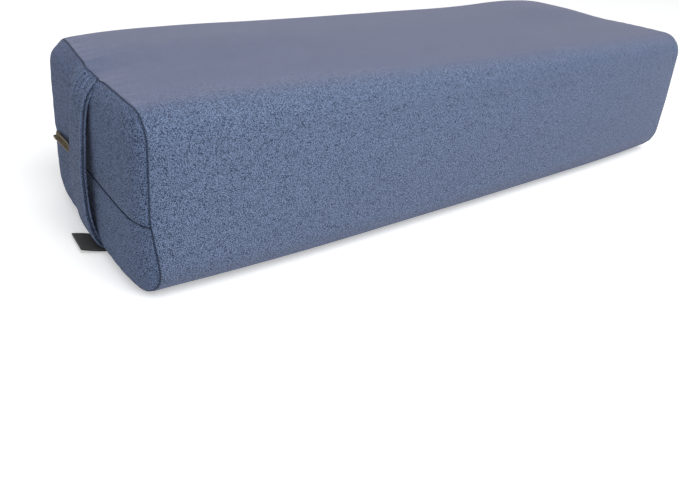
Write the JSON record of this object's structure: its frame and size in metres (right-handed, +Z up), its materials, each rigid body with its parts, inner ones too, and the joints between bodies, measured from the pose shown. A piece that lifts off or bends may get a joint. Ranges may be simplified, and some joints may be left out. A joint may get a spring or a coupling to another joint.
{
  "type": "rectangular yoga bolster",
  "caption": "Long firm rectangular cushion in a zipped suede-like cover, with a carrying strap on each end, a brass zip pull and a blank tag",
  "frame": {"origin": "middle of the flat base that the bolster rests on", "axes": "+X along the length, away from the end with the zip and the tag; +Z up from the base; the long side shown in front faces -Y"},
  "size_m": [0.6766, 0.2286, 0.1505],
  "materials": {
    "suede": "brushed microsuede, dusty blue",
    "suede_end": "brushed microsuede, dusty blue, seen against the nap",
    "suede_strap": "doubled brushed microsuede",
    "seam_thread": "dark blue sewing thread",
    "zip_tape": "woven tape",
    "zip_coil": "nylon coil",
    "brass": "dull antique brass",
    "tag_cloth": "black woven tag, blank",
    "cotton": "plain cotton",
    "wadding": "soft fibre batting",
    "foam": "firm polyurethane foam"
  },
  "bodies": {
    "bolster": {"cover_sleeve": "suede", "near_panel_upper": "suede_end", "near_panel_lower": "suede_end", "far_panel": "suede_end", "near_seam_thread": "seam_thread", "far_seam_thread": "seam_thread", "sleeve_seam_thread": "seam_thread", "zip_tape_upper": "zip_tape", "zip_tape_lower": "zip_tape", "zip_coil_upper": "zip_coil", "zip_coil_lower": "zip_coil", "zip_top_stop_upper": "brass", "zip_top_stop_lower": "brass", "zip_bottom_stop": "brass", "liner_sleeve": "cotton", "liner_near_end": "cotton", "liner_far_end": "cotton", "liner_near_thread": "cotton", "liner_far_thread": "cotton", "batting_wrap": "wadding", "batting_near_pad": "wadding", "batting_far_pad": "wadding", "foam_slab_1": "foam", "foam_slab_2": "foam", "foam_slab_3": "foam"},
    "zip_slider": {"zip_slider": "brass"},
    "zip_pull": {"zip_pull": "brass"},
    "near_handle": {"near_handle_face": "suede_strap", "near_handle_lining": "suede_strap"},
    "far_handle": {"far_handle_face": "suede_strap", "far_handle_lining": "suede_strap"},
    "tag": {"side_tag": "tag_cloth"}
  },
  "joints": [
    {"name": "zip_slide", "type": "slide", "parent": "bolster", "child": "zip_slider", "axis": [0, -1, 0], "range_m": [0, 0.152]},
    {"name": "pull_swing", "type": "hinge", "parent": "zip_slider", "child": "zip_pull", "pos_m": [-0.3301, 0.076, 0.0655], "axis": [0, 0, -1], "range_deg": [0, 175]},
    {"name": "near_strap_pull", "type": "slide", "parent": "bolster", "child": "near_handle", "axis": [-1, 0, 0], "range_m": [0, 0.018], "stiffness_N_per_m": 300},
    {"name": "far_strap_pull", "type": "slide", "parent": "bolster", "child": "far_handle", "axis": [1, 0, 0], "range_m": [0, 0.018], "stiffness_N_per_m": 300},
    {"name": "tag_lift", "type": "hinge", "parent": "bolster", "child": "tag", "pos_m": [-0.32277, -0.0045, 0.003], "axis": [0, 1, 0], "range_deg": [0, 30]}
  ]
}
